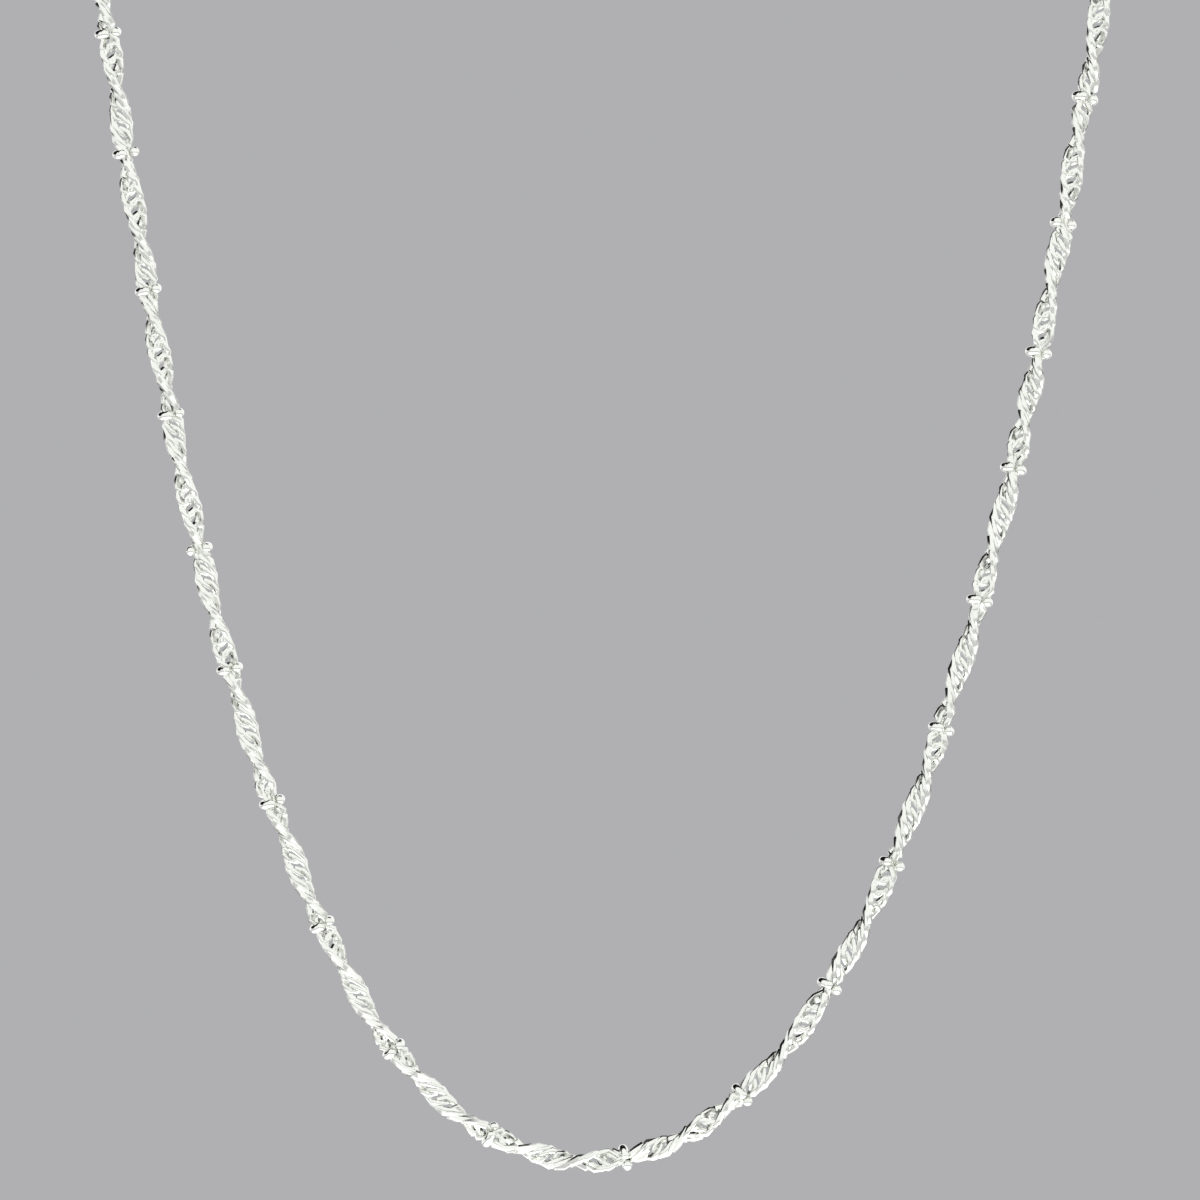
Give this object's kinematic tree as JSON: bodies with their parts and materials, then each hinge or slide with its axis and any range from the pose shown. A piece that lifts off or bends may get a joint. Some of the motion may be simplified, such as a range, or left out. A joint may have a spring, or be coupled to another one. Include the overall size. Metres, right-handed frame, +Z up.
{
  "type": "twisted chain necklace",
  "caption": "Fine twisted curb chain in polished silver, a whole loop with small wire rings closed round it at intervals and a plain ring clasp at the nape.",
  "frame": {"origin": "middle of the nape, halfway between the two ends of the chain, on the line of the clasp", "axes": "+X to the wearer's left, +Y to the back of the neck, +Z up; the front of the chain hangs at negative Y"},
  "size_m": [0.0903, 0.0746, 0.1382],
  "materials": {
    "chain_silver": "polished sterling silver wire",
    "ring_silver": "polished sterling silver wire, rounded ends",
    "clasp_silver": "polished sterling silver, cast and tumbled"
  },
  "bodies": {
    "root": {"chain_right": "chain_silver", "chain_left": "chain_silver", "ring_01": "ring_silver", "ring_02": "ring_silver", "ring_03": "ring_silver", "ring_04": "ring_silver", "ring_05": "ring_silver", "ring_06": "ring_silver", "ring_07": "ring_silver", "ring_08": "ring_silver", "ring_09": "ring_silver", "ring_10": "ring_silver", "ring_11": "ring_silver", "ring_12": "ring_silver", "ring_13": "ring_silver", "ring_14": "ring_silver", "ring_15": "ring_silver", "ring_16": "ring_silver", "ring_17": "ring_silver", "ring_18": "ring_silver", "ring_19": "ring_silver", "ring_20": "ring_silver", "ring_21": "ring_silver", "ring_22": "ring_silver", "ring_23": "ring_silver", "ring_24": "ring_silver", "ring_25": "ring_silver", "ring_26": "ring_silver", "ring_27": "ring_silver", "ring_28": "ring_silver", "ring_29": "ring_silver", "ring_30": "ring_silver", "ring_31": "ring_silver", "ring_32": "ring_silver", "ring_33": "ring_silver", "ring_34": "ring_silver", "ring_35": "ring_silver", "ring_36": "ring_silver", "ring_37": "ring_silver", "ring_38": "ring_silver", "ring_39": "ring_silver", "ring_40": "ring_silver", "clasp": "clasp_silver", "jump_ring_right": "clasp_silver", "jump_ring_left": "clasp_silver", "end_link_right": "clasp_silver", "end_link_left": "clasp_silver"}
  },
  "joints": []
}
